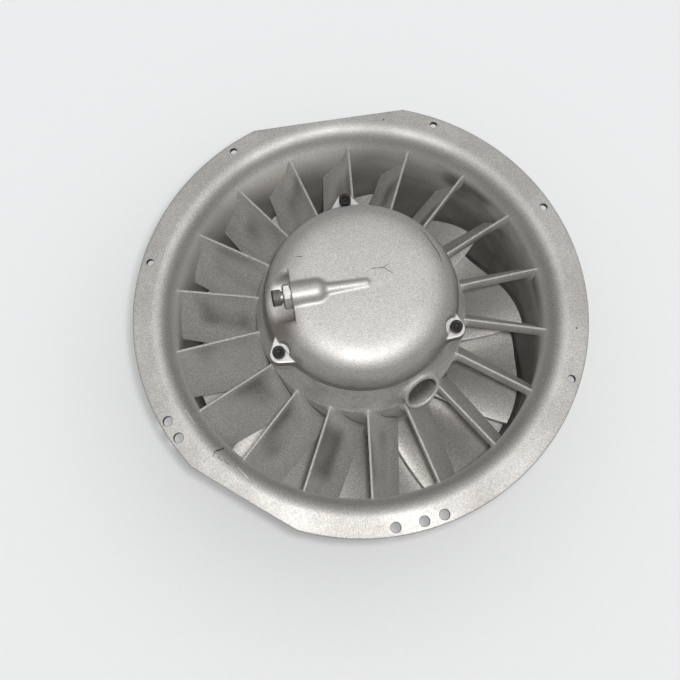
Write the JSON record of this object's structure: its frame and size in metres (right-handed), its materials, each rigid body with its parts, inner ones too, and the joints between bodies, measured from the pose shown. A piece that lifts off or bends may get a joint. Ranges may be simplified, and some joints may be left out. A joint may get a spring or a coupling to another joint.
{
  "type": "engine cooling fan",
  "caption": "Axial cooling fan of an air-cooled engine: cast inlet flange and bell mouth, guide vanes, domed hub cover and a rotor behind them.",
  "frame": {"origin": "centre of the duct's rear face, on the fan's axis", "axes": "+Z along the axis towards the inlet; +X and +Y across the flange"},
  "size_m": [0.5, 0.5, 0.3025],
  "materials": {
    "cast_aluminium": "bead blasted casting, matt light warm grey",
    "steel": "plain turned steel",
    "black_screw": "black oxide"
  },
  "bodies": {
    "housing": {"cover_screw_1": "black_screw", "cover_screw_2": "black_screw", "cover_screw_3": "black_screw", "duct_shell": "cast_aluminium", "guide_vane_01": "cast_aluminium", "guide_vane_02": "cast_aluminium", "guide_vane_03": "cast_aluminium", "guide_vane_04": "cast_aluminium", "guide_vane_05": "cast_aluminium", "guide_vane_06": "cast_aluminium", "guide_vane_07": "cast_aluminium", "guide_vane_08": "cast_aluminium", "guide_vane_09": "cast_aluminium", "guide_vane_10": "cast_aluminium", "guide_vane_11": "cast_aluminium", "guide_vane_12": "cast_aluminium", "guide_vane_13": "cast_aluminium", "guide_vane_14": "cast_aluminium", "guide_vane_15": "cast_aluminium", "guide_vane_16": "cast_aluminium", "guide_vane_17": "cast_aluminium", "guide_vane_18": "cast_aluminium", "hub_body": "cast_aluminium", "hub_cover": "cast_aluminium", "inlet_flange": "cast_aluminium", "oil_union_nut": "steel", "oil_union_stub": "steel"},
    "rotor": {"rotor_blade_01": "cast_aluminium", "rotor_blade_02": "cast_aluminium", "rotor_blade_03": "cast_aluminium", "rotor_blade_04": "cast_aluminium", "rotor_blade_05": "cast_aluminium", "rotor_blade_06": "cast_aluminium", "rotor_blade_07": "cast_aluminium", "rotor_blade_08": "cast_aluminium", "rotor_blade_09": "cast_aluminium", "rotor_blade_10": "cast_aluminium", "rotor_hub": "cast_aluminium", "rotor_shaft": "steel", "rotor_shaft_nut": "steel"}
  },
  "joints": [
    {"name": "rotor_spin", "type": "hinge", "parent": "housing", "child": "rotor", "pos_m": [0, 0, 0.06], "axis": [0, 0, 1], "continuous": true}
  ]
}
